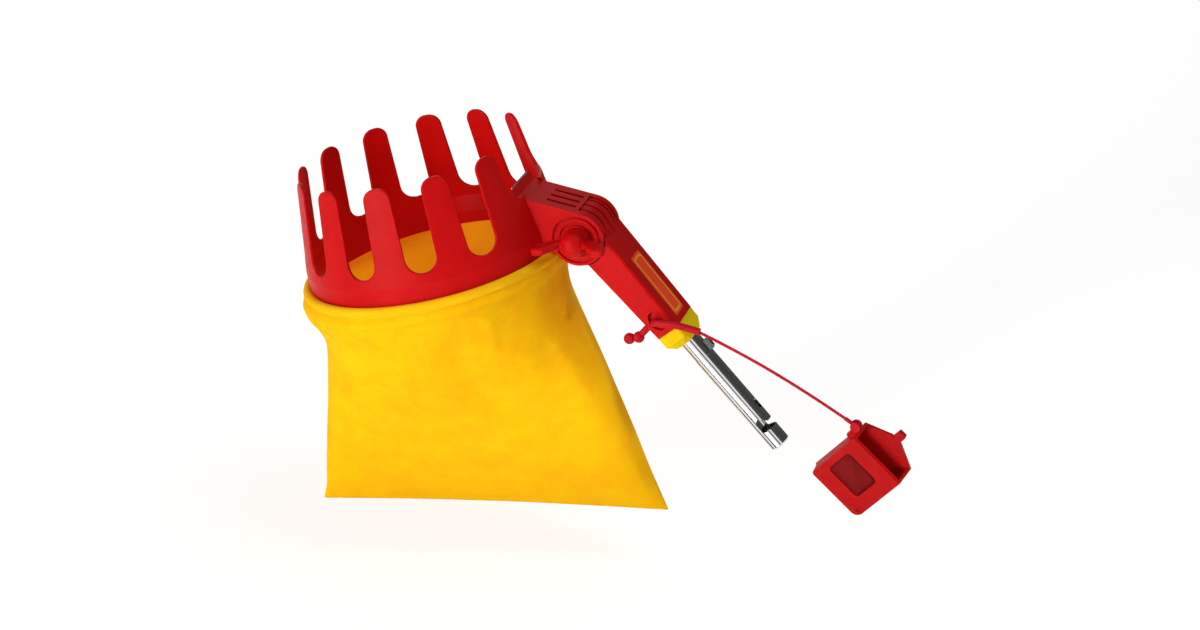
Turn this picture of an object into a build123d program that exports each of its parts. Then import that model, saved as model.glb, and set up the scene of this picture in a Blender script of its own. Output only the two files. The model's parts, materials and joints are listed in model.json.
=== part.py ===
from build123d import *
import os
from math import atan2, cos, degrees, radians, sin, sqrt, tan

os.makedirs("parts", exist_ok=True)

# Row frame, millimetres: the origin is on the tang's axis where the seat for the pole begins, +X leads away
# from the crown on the pole's side, +Z is up, and the hinge turns about Y. The head is held in use.
tang_slope = 45.0
arm_slope = 47.0
crown_lean = 15.0
tang_dir = Vector(cos(radians(tang_slope)), 0, -sin(radians(tang_slope)))
tang_up = Vector(sin(radians(tang_slope)), 0, cos(radians(tang_slope)))
arm_dir = Vector(cos(radians(arm_slope)), 0, -sin(radians(arm_slope)))
arm_up = Vector(sin(radians(arm_slope)), 0, cos(radians(arm_slope)))
crown_out = Vector(cos(radians(crown_lean)), 0, sin(radians(crown_lean)))
crown_up = Vector(-sin(radians(crown_lean)), 0, cos(radians(crown_lean)))
across = Vector(0, 1, 0)
front = Vector(0, -1, 0)

# Arm, measured from the pivot: s along its top, n square to it. Lengths on the tang run from its shoulder.
shoulder_s = 110.0
shoulder_n = 9.9
tang_r = 8.0
tang_root_r = 6.9
tang_wall = 1.4
tang_length = 105.6
tang_neck = 18.0
tang_neck_r = 7.7
tang_root = -64.0
bore_gap = 0.05
arm_half = 19.8
arm_start = 8.0
arm_end = 95.0
arm_top = 18.4
arm_foot_start = -8.0
arm_foot_end = -1.0
arm_round = 2.6
collar_block_end = 104.0
collar_nose = (29.0, 16.4)

# Crown, measured from the centre of its lower edge: rho out from its axis, h along it.
collar_r = 97.0
wall = 3.0
gap_floor = 29.0
tip_h = 94.0
tip_in = 11.0
tip_wall = 2.6
tip_round = 8.6
tip_trim = 1.0
lean_h = 22.0
rim_round = 0.8
finger_count = 11
finger_pitch = 28.6
first_finger = -28.4
gap_half = 11.4
web_h = 55.0
groove_depth = 1.8
groove_low = 1.6
groove_high = 9.2
tip_r = collar_r - tip_in
groove_r = collar_r - groove_depth

# Hinge.
pivot_out = 25.3
pivot_rho = collar_r + pivot_out
pivot_h = 16.8
knuckle_r = 20.5
cheek_gap = 0.8
tongue_r = 19.7
tongue_half = 13.8
tongue_reach = 28.0
cheek_inner = 14.9
bracket_half = 20.0
seat_gap = 0.3
bolt_r = 4.0
neck_half = 4.3
running_gap = 0.05
plate_slope = 22.0
plate_lip = -4.0
bracket_in = 13.0
bracket_root = collar_r - bracket_in
bracket_foot = 10.5
lip_run = 5.0
lip_rise = 4.0
rib_pitch = 9.6
rib_groove = 2.2
rib_depth = 1.8
ring_grooves = (17.4, 12.1)
ring_width = 2.4
ring_depth = 1.8

shoulder = tang_dir * -tang_neck
pivot = shoulder - arm_dir * shoulder_s - arm_up * shoulder_n
crown_base = pivot + crown_out * -pivot_rho + crown_up * -pivot_h

arm_side = Plane(origin=pivot, x_dir=arm_dir, z_dir=front)
crown_side = Plane(origin=crown_base, x_dir=crown_out, z_dir=front)
crown_axis = Axis(crown_base, crown_up)
pivot_axis = Axis(pivot, front)


def arm_at(s, n, y):
    """Point at s along and n above the pivot in the arm's own directions."""
    return pivot + arm_dir * s + arm_up * n + across * y


def across_arm(s):
    """Plane square to the arm through the middle of its end, with Y across."""
    return Plane(origin=arm_at(s, (arm_top + arm_foot_end) / 2, 0), x_dir=across, z_dir=arm_dir)


def across_tang(length):
    """Plane square to the tang at this length from its shoulder, with Y across."""
    return Plane(origin=shoulder + tang_dir * length, x_dir=across, z_dir=tang_dir)


def gap_plane(angle):
    """Plane through the crown's axis that faces out at this angle round the crown."""
    out = crown_out * cos(radians(angle)) + across * sin(radians(angle))
    return Plane(origin=crown_base, x_dir=crown_up.cross(out), z_dir=out)


def plate_at(m, q):
    """Point of the bracket's section, m along its sloping top and q square to it from the pivot."""
    slope = radians(plate_slope)
    return (
        pivot_rho + m * cos(slope) + q * sin(slope),
        pivot_h - m * sin(slope) + q * cos(slope),
    )


plate_m = crown_out * cos(radians(plate_slope)) - crown_up * sin(radians(plate_slope))
plate_q = crown_out * sin(radians(plate_slope)) + crown_up * cos(radians(plate_slope))
plate_plane = Plane(origin=pivot + plate_q * knuckle_r, x_dir=plate_m, z_dir=plate_q)
root_m = (bracket_root - pivot_rho - knuckle_r * sin(radians(plate_slope))) / cos(radians(plate_slope))

# Blade on the bracket's inner end, with its edge up, and its screws.
crest = plate_at(root_m - lip_run, knuckle_r + lip_rise)
blade_thick = 1.2
blade_proud = 1.6
blade_low = 41.0
blade_half = 17.0
blade_bevel = 3.2
screw_h = 46.5
screw_y = 11.0
screw_r = 1.5
screw_head_r = 2.8
screw_shank = 8.0
screw_head = 2.0
seat_foot = 39.5
screw_plane = Plane(
    origin=crown_base + crown_out * (crest[0] - blade_thick) + crown_up * screw_h,
    x_dir=across,
    z_dir=crown_out,
)

finger_angles = [first_finger - finger_pitch * i for i in range(finger_count)]
between = [first_finger - finger_pitch * (i + 0.5) for i in range(finger_count - 1)]
front_gap = first_finger + finger_pitch / 2
back_gap = finger_angles[-1] + 360 - finger_pitch / 2
# Gaps: reach to either side, floor and places. The two beside the bracket meet over it above a web.
gap_sets = [
    (gap_half, gap_half, gap_floor, between),
    (gap_half, collar_r * sin(radians(-front_gap)) + gap_half / 2, web_h, [front_gap]),
    (collar_r * sin(radians(back_gap)) + gap_half / 2, gap_half, web_h, [back_gap]),
]

with BuildPart() as crown:
    # Collar and fingers start as one turned wall, with a groove for the bag's hem.
    with BuildSketch(crown_side):
        with BuildLine():
            Polyline(
                (collar_r, 0),
                (collar_r, groove_low),
                (groove_r, groove_low),
                (groove_r, groove_high),
                (collar_r, groove_high),
                (collar_r, lean_h),
                (tip_r, tip_h + tip_trim),
                (tip_r - tip_wall, tip_h + tip_trim),
                (collar_r - wall, lean_h),
                (groove_r - wall, groove_high),
                (groove_r - wall, 0),
                close=True,
            )
        make_face()
    revolve(axis=crown_axis)
    flare = collar_r * sin(radians(finger_pitch / 2))
    for left, right, floor, angles in gap_sets:
        with BuildSketch(*[gap_plane(a) for a in angles]) as gap:
            with BuildLine():
                Polyline(
                    (-left, floor),
                    (right, floor),
                    (right, tip_h),
                    (right + flare, tip_h),
                    (right + flare, tip_h + 2 * tip_trim),
                    (-left - flare, tip_h + 2 * tip_trim),
                    (-left - flare, tip_h),
                    (-left, tip_h),
                    close=True,
                )
            make_face()
            sides = [v for v in gap.vertices() if abs(abs(v.X) - gap_half) < 0.01]
            fillet([v for v in sides if v.Y < floor + 1], gap_half - 0.4)
            sides = [v for v in gap.vertices() if abs(abs(v.X) - gap_half) < 0.01]
            fillet([v for v in sides if abs(v.Y - tip_h) < 0.01], tip_round)
        extrude(amount=collar_r + 20, mode=Mode.SUBTRACT)
    leaning = crown.faces().filter_by(GeomType.CONE)
    rims = [e for e in leaning.edges() if (e @ 0.5 - crown_base).dot(crown_up) > lean_h + 1]
    fillet([e for e in rims if abs((e @ 0).Y) + abs((e @ 1).Y) > 0.01], rim_round)
    # Room in the wall for the bracket.
    with BuildSketch(gap_plane(0)):
        with Locations((0, (gap_floor + tip_h) / 2)):
            Rectangle(2 * bracket_half - 4 * rim_round, tip_h - gap_floor)
    extrude(amount=collar_r + 20, mode=Mode.SUBTRACT)
    # Hinge bracket: a sloping block with a lip at its inner end and two round cheeks at its outer end.
    with BuildSketch(crown_side):
        with BuildLine():
            Polyline(
                plate_at(root_m, knuckle_r),
                crest,
                (crest[0], seat_foot),
                (collar_r - wall + 1, gap_floor - 2),
                (collar_r - wall + 1, bracket_foot),
                (pivot_rho - 8, bracket_foot),
                plate_at(0, 0),
                plate_at(0, knuckle_r),
                close=True,
            )
        make_face()
        with Locations((pivot_rho, pivot_h)):
            Circle(knuckle_r)
    extrude(amount=bracket_half, both=True)
    # Room between the cheeks for the arm's tongue.
    with BuildSketch(crown_side):
        with Locations((pivot_rho, pivot_h)):
            Circle(tongue_r + seat_gap)
        with BuildLine():
            Polyline(
                plate_at(plate_lip, 0),
                plate_at(plate_lip, 30),
                plate_at(40, 30),
                plate_at(40, -60),
                plate_at(plate_lip, -60),
                close=True,
            )
        make_face()
        with Locations((collar_r + 33, bracket_foot - 15)):
            Rectangle(60, 30)
    extrude(amount=cheek_inner, both=True, mode=Mode.SUBTRACT)
    # Three slots in the sloping top.
    with BuildSketch(plate_plane):
        with Locations(*[(-18.5, rib_pitch * i) for i in (-1, 0, 1)]):
            SlotOverall(23, 3.4)
    extrude(amount=-7, mode=Mode.SUBTRACT)
    # Ring grooves on the front cheek, and the holes for the bolt and its square neck.
    with BuildSketch(Plane(origin=pivot + front * bracket_half, x_dir=crown_out, z_dir=front)):
        for ring in ring_grooves:
            Circle(ring + ring_width / 2)
            Circle(ring - ring_width / 2, mode=Mode.SUBTRACT)
    extrude(amount=-ring_depth, mode=Mode.SUBTRACT)
    with BuildSketch(Plane(origin=pivot, x_dir=crown_out, z_dir=front)):
        Circle(bolt_r + bore_gap)
    extrude(amount=bracket_half + 1, both=True, mode=Mode.SUBTRACT)
    with BuildSketch(Plane(origin=pivot + across * (bracket_half + 1), x_dir=crown_out, z_dir=front)):
        Rectangle(2 * neck_half + 0.2, 2 * neck_half + 0.2)
    extrude(amount=5, mode=Mode.SUBTRACT)
    # Holes for the blade's two screws.
    with BuildSketch(screw_plane):
        with Locations((-screw_y, 0), (screw_y, 0)):
            Circle(screw_r)
    extrude(amount=screw_shank, mode=Mode.SUBTRACT)
crown.part.label = "crown"
export_step(crown.part, "parts/crown.step")

with BuildPart() as blade:
    # Flat plate on the bracket's inner end, ground to a cutting edge that stands a little above the lip.
    with BuildSketch(crown_side):
        with BuildLine():
            Polyline(
                (crest[0] - blade_thick, blade_low),
                (crest[0], blade_low),
                (crest[0], crest[1] + blade_proud),
                (crest[0] - blade_thick, crest[1] + blade_proud - blade_bevel),
                close=True,
            )
        make_face()
    extrude(amount=blade_half, both=True)
    with BuildSketch(screw_plane):
        with Locations((-screw_y, 0), (screw_y, 0)):
            Circle(screw_r)
    extrude(amount=screw_shank, mode=Mode.SUBTRACT)
blade.part.label = "blade"
export_step(blade.part, "parts/blade.step")

with BuildPart() as blade_screw:
    with BuildSketch(screw_plane):
        with Locations((-screw_y, 0), (screw_y, 0)):
            Circle(screw_r)
    extrude(amount=screw_shank)
    with BuildSketch(screw_plane):
        with Locations((-screw_y, 0), (screw_y, 0)):
            Circle(screw_head_r)
    extrude(amount=-screw_head)
    with BuildSketch(screw_plane.offset(-screw_head)):
        with Locations((-screw_y, 0), (screw_y, 0)):
            Rectangle(4, 0.8)
            Rectangle(0.8, 4)
    extrude(amount=1.0, mode=Mode.SUBTRACT)
blade_screw.part.label = "blade_screw"
export_step(blade_screw.part, "parts/blade_screw.step")

# Hem of the bag in the collar's groove, with its cord.
hem_r = 4.2
hem_rho = groove_r + hem_r + 0.1
hem_h = (groove_low + groove_high) / 2
cord_r = 1.5

with BuildPart() as bag_hem:
    with BuildSketch(crown_side):
        with Locations((hem_rho, hem_h)):
            Circle(hem_r)
            Circle(cord_r + 0.1, mode=Mode.SUBTRACT)
    revolve(axis=crown_axis)
bag_hem.part.label = "bag_hem"
export_step(bag_hem.part, "parts/bag_hem.step")

with BuildPart() as hem_cord:
    with BuildSketch(crown_side):
        with Locations((hem_rho, hem_h)):
            Circle(cord_r)
    revolve(axis=crown_axis)
hem_cord.part.label = "hem_cord"
export_step(hem_cord.part, "parts/hem_cord.step")

# Bag: round at the hem, flat at the bottom seam, which lies a little aslant to the hinge's plane.
cloth = 2.5
bag_top_h = 0.9
bag_top_r = hem_rho + 1.2
seam_turn = 16.5
bag_points = 24
seam_dir = Vector(cos(radians(seam_turn)), sin(radians(seam_turn)), 0)
# Levels: drop below the crown's middle, lean, shift and half width along the seam, half depth, squareness.
bag_levels = [
    (-bag_top_h, crown_lean, 0.0, bag_top_r, bag_top_r, 2.0),
    (44.0, 9.0, 12.0, 97.0, 88.0, 2.1),
    (95.0, 3.0, 25.5, 109.0, 60.0, 2.2),
    (150.0, 0.0, 36.0, 121.0, 31.0, 2.4),
    (193.0, 0.0, 44.0, 129.0, 8.0, 2.8),
]


def bag_plane(drop, lean, shift):
    """Plane of one level of the bag; the top one lies in the crown's own plane."""
    up = Vector(-sin(radians(lean)), 0, cos(radians(lean)))
    middle = crown_base + seam_dir * shift
    middle = middle - crown_up * drop if shift == 0 else middle - Vector(0, 0, drop)
    along = seam_dir - up * seam_dir.dot(up)
    return Plane(origin=middle, x_dir=along, z_dir=up)


def bag_outline(half_width, half_depth, square):
    """Points of a rounded outline between an ellipse and a flat bag."""
    points = []
    for i in range(bag_points):
        turn = radians(360 / bag_points * i)
        c, s = cos(turn), sin(turn)
        size = (abs(c) ** square + abs(s) ** square) ** (-1 / square)
        points.append((half_width * c * size, half_depth * s * size))
    return points


with BuildPart() as bag:
    for drop, lean, shift, half_width, half_depth, square in bag_levels:
        with BuildSketch(bag_plane(drop, lean, shift)):
            with BuildLine():
                Spline(*bag_outline(half_width, half_depth, square), periodic=True)
            make_face()
    loft()
    for drop, lean, shift, half_width, half_depth, square in bag_levels:
        # The inner form starts a little above the rim and stops a cloth's thickness above the seam.
        inner_drop = min(drop, bag_levels[-1][0] - cloth)
        inner_drop = max(inner_drop, -bag_top_h)
        with BuildSketch(bag_plane(inner_drop, lean, shift)):
            with BuildLine():
                Spline(*bag_outline(half_width - cloth, half_depth - cloth, square), periodic=True)
            make_face()
    loft(mode=Mode.SUBTRACT)
bag.part.label = "bag"
export_step(bag.part, "parts/bag.step")

# Bolt, washer, knob and nut on the hinge's axis. Distances run from the pivot towards the front.
washer_thick = 1.6
washer_in = 0.6
knob_seat = bracket_half + washer_thick + 0.1
nut_thick = 6.5
nut_flats = 13.0
knob_r = 10.0
knob_nose = 38.0
bolt_end = -(knob_seat + nut_thick + 3)
knob_tilt = 8.0
wing_thick = 5.6
wing_root = 8.0
wing_half = 28.5
wing_reach = 25.0
wing_tip = 9.5
wing_fork = 12.0
bolt_head_r = 9.5
bolt_head_thick = 5.0
bolt_head_edge = 1.2
pivot_side = Plane(origin=pivot, x_dir=crown_out, z_dir=front)
turn_plane = Plane(origin=pivot, x_dir=front, z_dir=crown_up)

with BuildPart() as pivot_bolt:
    with BuildSketch(pivot_side.offset(-bracket_half)):
        Circle(bolt_r)
    extrude(amount=bracket_half - bolt_end)
    with BuildSketch(pivot_side.offset(-bracket_half)):
        Rectangle(2 * neck_half, 2 * neck_half)
    extrude(amount=4)
    with BuildSketch(turn_plane):
        with BuildLine():
            Polyline(
                (-bracket_half - bolt_head_thick, 0),
                (-bracket_half, 0),
                (-bracket_half, bolt_head_r),
                (-bracket_half - bolt_head_edge, bolt_head_r),
            )
            TangentArc(
                (-bracket_half - bolt_head_thick, 0), (-bracket_half - bolt_head_edge, bolt_head_r), tangent=(0, 1)
            )
        make_face()
    revolve(axis=pivot_axis)
    chamfer(pivot_bolt.edges().filter_by(GeomType.CIRCLE).sort_by(Axis.Y)[0], 0.8)
pivot_bolt.part.label = "pivot_bolt"
export_step(pivot_bolt.part, "parts/pivot_bolt.step")

with BuildPart() as bolt_washer:
    with BuildSketch(pivot_side.offset(bracket_half)):
        Circle(knob_r - washer_in)
        Circle(bolt_r + 0.2, mode=Mode.SUBTRACT)
    extrude(amount=washer_thick)
    chamfer(bolt_washer.edges().filter_by(GeomType.CIRCLE).sort_by(Axis.Y)[0:1], 0.3)
bolt_washer.part.label = "bolt_washer"
export_step(bolt_washer.part, "parts/bolt_washer.step")

with BuildPart() as friction_disc:
    for start in (tongue_half + 0.1, -cheek_inner + 0.1):
        with BuildSketch(pivot_side.offset(start)):
            Circle(tongue_r - 3.5)
            Circle(bolt_r + 0.2, mode=Mode.SUBTRACT)
        extrude(amount=cheek_inner - tongue_half - 0.2)
friction_disc.part.label = "friction_disc"
export_step(friction_disc.part, "parts/friction_disc.step")

with BuildPart() as knob_nut:
    with BuildSketch(pivot_side.offset(knob_seat)):
        RegularPolygon(nut_flats / 2, 6, major_radius=False)
        Circle(bolt_r + running_gap, mode=Mode.SUBTRACT)
    extrude(amount=nut_thick)
knob_nut.part.label = "knob_nut"
export_step(knob_nut.part, "parts/knob_nut.step")

wing_out = Vector(cos(radians(knob_tilt)), 0, sin(radians(knob_tilt)))
wing_up = Vector(-sin(radians(knob_tilt)), 0, cos(radians(knob_tilt)))

with BuildPart() as wing_knob:
    # Two wings that lean forward from the hub, drawn seen from above: each corner's distance out and forward.
    one_wing = [
        (wing_root, 1.5),
        (wing_half - 2.5, wing_reach - 11),
        (wing_half, wing_reach),
        (wing_half - wing_tip, wing_reach - 1),
        (wing_root + 1, wing_fork),
    ]
    corners = [(out, -knob_seat - ahead) for out, ahead in one_wing]
    with BuildSketch(Plane(origin=pivot, x_dir=wing_out, z_dir=wing_up)) as wings:
        with BuildLine():
            Polyline(*corners, *[(-x, y) for x, y in reversed(corners)], close=True)
        make_face()
        fillet([v for v in wings.vertices() if abs(v.X) > wing_root + 2], 3)
    extrude(amount=wing_thick / 2, both=True)
    rims = [e for e in wing_knob.edges() if abs((e @ 0.5 - pivot).dot(wing_up)) > wing_thick / 2 - 0.01]
    chamfer(rims, 1.0)
    with BuildSketch(Plane(origin=pivot, x_dir=front, z_dir=wing_up)):
        with BuildLine():
            Polyline((knob_nose, 0), (knob_seat, 0), (knob_seat, knob_r), (knob_nose - 7, knob_r - 0.6))
            TangentArc((knob_nose, 0), (knob_nose - 7, knob_r - 0.6), tangent=(0, 1))
        make_face()
    revolve(axis=pivot_axis)
    with BuildSketch(pivot_side.offset(knob_seat)):
        RegularPolygon(nut_flats / 2, 6, major_radius=False)
    extrude(amount=nut_thick, mode=Mode.SUBTRACT)
    with BuildSketch(pivot_side.offset(knob_seat)):
        Circle(bolt_r + 0.3)
    extrude(amount=nut_thick + 4, mode=Mode.SUBTRACT)
wing_knob.part.label = "wing_knob"
export_step(wing_knob.part, "parts/wing_knob.step")

# Arm with the tongue of the hinge, the bore for the tang, and the tether's way through it.
plate_start = 36.0
plate_end = 90.0
plate_half = 9.0
plate_thick = 1.4
plate_sink = 1.0
pin_s = 76.0
pin_r = 2.0
pin_gap = 0.03
pin_low = -3.8
pin_high = 16.6
hole_s = 83.0
hole_n = 9.0
hole_in = arm_at(hole_s, hole_n, -arm_half)
hole_out = arm_at(hole_s + 1.0, hole_n - 13.0, -14.5)
hole_r = 2.8

with BuildPart() as arm:
    with BuildSketch(arm_side):
        with BuildLine():
            Polyline(
                (arm_start, arm_foot_start),
                (arm_end, arm_foot_end),
                (arm_end, arm_top),
                (arm_start, arm_top),
                close=True,
            )
        make_face()
        Circle(knuckle_r + cheek_gap, mode=Mode.SUBTRACT)
    extrude(amount=arm_half, both=True)
    fillet([e for e in arm.edges() if e.length > (arm_end - arm_start) / 2], arm_round)
    with BuildSketch(arm_side):
        Circle(tongue_r)
        with BuildLine():
            Polyline(
                (6, -sqrt(tongue_r**2 - 36)),
                (tongue_reach, arm_foot_start + 3),
                (tongue_reach, arm_top),
                (sqrt(tongue_r**2 - arm_top**2), arm_top),
                (0, 0),
                close=True,
            )
        make_face()
    extrude(amount=tongue_half, both=True)
    # Three grooves over the knuckle that run out on the arm's top.
    for i in (-1, 0, 1):
        with BuildSketch(arm_side.offset(rib_pitch * i - rib_groove / 2)):
            Circle(tongue_r + 6)
            Circle(tongue_r - rib_depth, mode=Mode.SUBTRACT)
            with Locations((tongue_r + 3, 0)):
                Rectangle(2 * tongue_r + 6, 4 * tongue_r, mode=Mode.SUBTRACT)
            with Locations((7, tongue_r - rib_depth + 3)):
                Rectangle(14, 6)
        extrude(amount=rib_groove, mode=Mode.SUBTRACT)
    with BuildSketch(arm_side):
        Circle(bolt_r + running_gap)
    extrude(amount=tongue_half + 1, both=True, mode=Mode.SUBTRACT)
    with BuildSketch(across_tang(tang_root)):
        Circle(tang_root_r + bore_gap)
    extrude(amount=-tang_root, mode=Mode.SUBTRACT)
    # Seat of the top plate, hole of the cross pin, and the tether's recess and slanted hole.
    with BuildSketch(Plane(origin=arm_at(0, arm_top, 0), x_dir=arm_dir, z_dir=arm_up)):
        with Locations(((plate_start + plate_end) / 2, 0)):
            RectangleRounded(plate_end - plate_start + 0.2, 2 * plate_half + 0.2, 2.1)
    extrude(amount=-plate_sink, mode=Mode.SUBTRACT)
    with BuildSketch(Plane(origin=arm_at(pin_s, pin_high, 0), x_dir=arm_dir, z_dir=arm_up)):
        Circle(pin_r + pin_gap)
    extrude(amount=-40, mode=Mode.SUBTRACT)
    with BuildSketch(arm_side.offset(arm_half)):
        with Locations((hole_s, hole_n - 0.5)):
            Ellipse(8.0, 6.0)
    extrude(amount=-3.0, mode=Mode.SUBTRACT)
    with BuildSketch(Plane(origin=hole_in, z_dir=hole_out - hole_in)):
        Circle(hole_r)
    extrude(amount=(hole_out - hole_in).length + 6, mode=Mode.SUBTRACT)
arm.part.label = "arm"
export_step(arm.part, "parts/arm.step")

with BuildPart() as top_plate:
    with BuildSketch(Plane(origin=arm_at(0, arm_top - plate_sink, 0), x_dir=arm_dir, z_dir=arm_up)):
        with Locations(((plate_start + plate_end) / 2, 0)):
            RectangleRounded(plate_end - plate_start, 2 * plate_half, 2)
    extrude(amount=plate_thick)
    fillet(top_plate.faces().sort_by(Axis(pivot, arm_up))[-1].edges(), 0.3)
top_plate.part.label = "top_plate"
export_step(top_plate.part, "parts/top_plate.step")

collar_size = (2 * arm_half - 0.4, arm_top - arm_foot_end - 0.4)

with BuildPart() as end_collar:
    with BuildSketch(across_arm(arm_end)):
        RectangleRounded(*collar_size, arm_round)
    extrude(amount=collar_block_end - arm_end)
    with BuildSketch(across_arm(collar_block_end)):
        RectangleRounded(*collar_size, arm_round)
    with BuildSketch(across_tang(0)):
        RectangleRounded(*collar_nose, 6)
    loft()
    with BuildSketch(across_tang(arm_end - shoulder_s - 2)):
        Circle(tang_root_r + bore_gap)
    extrude(amount=shoulder_s - arm_end + 4, mode=Mode.SUBTRACT)
end_collar.part.label = "end_collar"
export_step(end_collar.part, "parts/end_collar.step")

# Tang: lengths run from the shoulder, heights from its own axis.
tang_bore = tang_r - tang_wall - 0.2
tang_side = Plane(origin=shoulder, x_dir=tang_dir, z_dir=front)
tang_axis = Axis(shoulder, tang_dir)
notch_start = 78.5
notch_lip = 84.6
notch_end = 91.5
notch_depth = -1.6
slot_at = 70.0
key_start = 8.0
key_end = 17.0
key_high = 12.2
key_half = 1.6

with BuildPart() as tang:
    with BuildSketch(tang_side):
        with BuildLine():
            Polyline(
                (tang_root, tang_root_r - tang_wall),
                (tang_root, tang_root_r),
                (0, tang_root_r),
                (0, tang_neck_r),
                (tang_neck, tang_neck_r),
                (tang_neck, tang_r),
                (tang_length - 1.2, tang_r),
                (tang_length, tang_r - 0.9),
                (tang_length, tang_bore),
                (tang_neck, tang_bore),
                (0, tang_root_r - tang_wall),
                close=True,
            )
        make_face()
    revolve(axis=tang_axis)
    # Bayonet notch with its hooked lip, and the small slot ahead of it.
    with BuildSketch(tang_side) as notch:
        with BuildLine():
            Polyline(
                (notch_lip, tang_r + 2),
                (notch_lip, tang_r - 1.2),
                (notch_start, 2.6),
                (notch_start + 2.5, notch_depth),
                (notch_end - 1.5, notch_depth),
                (notch_end, tang_r + 2),
                close=True,
            )
        make_face()
        fillet([v for v in notch.vertices() if v.Y < 3], 1.4)
    extrude(amount=tang_r + 1, both=True, mode=Mode.SUBTRACT)
    with BuildSketch(Plane(origin=shoulder + tang_dir * slot_at, x_dir=tang_dir, z_dir=tang_up)):
        SlotOverall(8, 4.4)
    extrude(amount=tang_r + 1, mode=Mode.SUBTRACT)
    with BuildSketch(Plane(origin=arm_at(pin_s, pin_high, 0), x_dir=arm_dir, z_dir=arm_up)):
        Circle(pin_r + pin_gap)
    extrude(amount=-40, mode=Mode.SUBTRACT)
tang.part.label = "tang"
export_step(tang.part, "parts/tang.step")

with BuildPart() as tang_key:
    with BuildSketch(tang_side):
        with BuildLine():
            Polyline(
                (key_start, tang_neck_r - 1),
                (key_end, tang_neck_r - 1),
                (key_end, key_high - 1.2),
                (key_end - 1.6, key_high),
                (key_start + 1.0, key_high),
                (key_start, key_high - 1.0),
                close=True,
            )
        make_face()
    extrude(amount=key_half, both=True)
    with BuildSketch(across_tang(0)):
        Circle(tang_neck_r)
    extrude(amount=key_end + 5, mode=Mode.SUBTRACT)
tang_key.part.label = "tang_key"
export_step(tang_key.part, "parts/tang_key.step")

with BuildPart() as tang_pin:
    with BuildSketch(Plane(origin=arm_at(pin_s, pin_high, 0), x_dir=arm_dir, z_dir=arm_up)):
        Circle(pin_r)
    extrude(amount=pin_low - pin_high)
    chamfer(tang_pin.edges().filter_by(GeomType.CIRCLE), 0.4)
tang_pin.part.label = "tang_pin"
export_step(tang_pin.part, "parts/tang_pin.step")

# Blade guard: u runs along its mouth, v towards the mouth, from the corner of its front face.
guard_turn = 40.5
guard_corner = shoulder + Vector(105.6, 0, -75.7)
guard_u = Vector(cos(radians(guard_turn)), 0, -sin(radians(guard_turn)))
guard_v = Vector(sin(radians(guard_turn)), 0, cos(radians(guard_turn)))
guard_front = 34.5
guard_rear = 20.0
guard_width = 47.5
guard_high = 44.5
guard_shoulder = 52.0
guard_peak = 61.0
guard_wall = 2.4
back_thick = 2.6
lug_u = -4.6
lug_v = 49.5
tether_y = 27.5
lug_half = 2.0
lug_r = 4.4
button_r = 2.5
button_gap = 0.1
flange_r = 3.7
lug_at = guard_corner + guard_u * lug_u + guard_v * lug_v + front * tether_y


def guard_plane(depth):
    """Plane of the guard at this distance in front of the hinge's plane of symmetry."""
    return Plane(origin=guard_corner + front * depth, x_dir=guard_u, z_dir=front)


# Tether: a thick end through the arm, then a strand in one upright plane to the button in the guard's lug.
thick_r = 2.65
strand_r = 1.1
strand_sink = 3.0
neck_reach = 9.0
neck_r = 1.5
bead_r = 4.3
bead_points = [arm_at(85.7, -13.2, -16.5), arm_at(82.6, -20.0, -16.5)]
bead_turn = (hole_out - bead_points[0]).cross(bead_points[1] - bead_points[0])
bead_away = bead_points[0] * 2 - hole_out - bead_points[1]
bead_planes = [
    Plane(origin=bead_points[0], x_dir=bead_away, z_dir=bead_turn),
    Plane(origin=bead_points[1], x_dir=bead_points[1] - bead_points[0], z_dir=bead_turn),
]
stem_points = [
    bead_points[0],
    hole_out,
    hole_in + (hole_out - hole_in) * 0.25,
    arm_at(81.8, 10.0, -tether_y),
    shoulder + Vector(-3.0, -tether_y, 22.0),
    shoulder + Vector(15.1, -tether_y, 19.5),
]
strand_bends = [shoulder + Vector(40.9, -tether_y, 10.2), shoulder + Vector(95.6, -tether_y, -14.0)]
strand_start = stem_points[-1] + (stem_points[-2] - stem_points[-1]).normalized() * strand_sink
neck_dir = (strand_bends[-1] - lug_at).normalized()
neck_end = lug_at + neck_dir * neck_reach
strand_points = [strand_start, *strand_bends, neck_end - neck_dir * strand_sink]


def bend_radii(points):
    """Largest tidy radius at each inner point of a route."""
    radii = []
    for before, here, after in zip(points, points[1:], points[2:]):
        a, b = here - before, after - here
        turn = radians(a.get_angle(b))
        radii.append(0.45 * min(a.length, b.length) / tan(turn / 2))
    return radii


with BuildPart() as tether_plug:
    # Through the slanted hole and out along the arm, with two beads that keep it from pulling back.
    with BuildLine() as stem_route:
        FilletPolyline(*stem_points, radius=[6.0, 4.0, 4.0, 60.0])
    with BuildSketch(Plane(origin=stem_route.line @ 0, z_dir=stem_route.line % 0)):
        Circle(thick_r)
    sweep()
    with Locations(*bead_planes):
        Sphere(bead_r)
tether_plug.part.label = "tether_plug"
export_step(tether_plug.part, "parts/tether_plug.step")

strand_radii = bend_radii(strand_points)
print("strand bend radii", [round(r, 1) for r in strand_radii])
with BuildPart() as tether_strand:
    with BuildLine() as strand_route:
        FilletPolyline(*strand_points, radius=strand_radii)
    with BuildSketch(Plane(origin=strand_route.line @ 0, z_dir=strand_route.line % 0)):
        Circle(strand_r)
    sweep()
tether_strand.part.label = "tether_strand"
export_step(tether_strand.part, "parts/tether_strand.step")

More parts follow.
